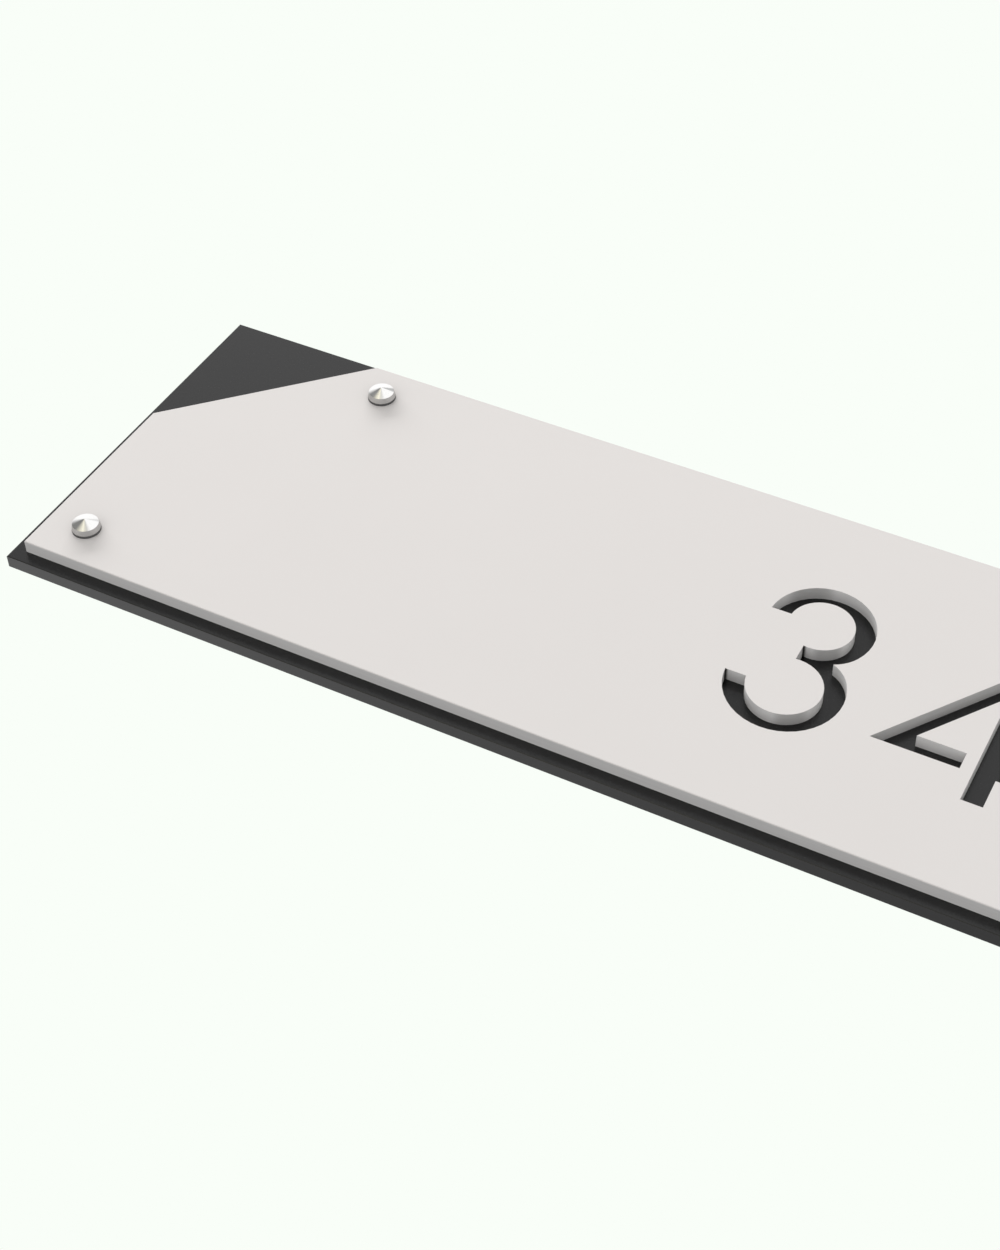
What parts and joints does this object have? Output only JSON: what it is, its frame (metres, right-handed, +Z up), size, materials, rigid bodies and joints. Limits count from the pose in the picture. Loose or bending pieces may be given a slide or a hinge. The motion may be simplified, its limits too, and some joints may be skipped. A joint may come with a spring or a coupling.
{
  "type": "house number plaque",
  "caption": "House number plaque: pale front plate with a cut corner and stencil-cut digits on a dark back plate, held to the wall by cone-headed metal caps.",
  "frame": {"origin": "middle of the back plate's wall face", "axes": "upright as on the wall: +X the way the number is read, +Z up, +Y into the wall, with the reader on the -Y side"},
  "size_m": [0.6, 0.0149, 0.15],
  "materials": {
    "dark_plate": "satin",
    "pale_plate": "satin",
    "cap_metal": "polished",
    "washer": "matte"
  },
  "bodies": {
    "root": {"back_plate": "dark_plate", "front_plate": "pale_plate", "cap_lower_left": "cap_metal", "cap_upper_left": "cap_metal", "cap_upper_right": "cap_metal", "cap_lower_right": "cap_metal", "washer_lower_left": "washer", "washer_upper_left": "washer", "washer_upper_right": "washer", "washer_lower_right": "washer"}
  },
  "joints": []
}
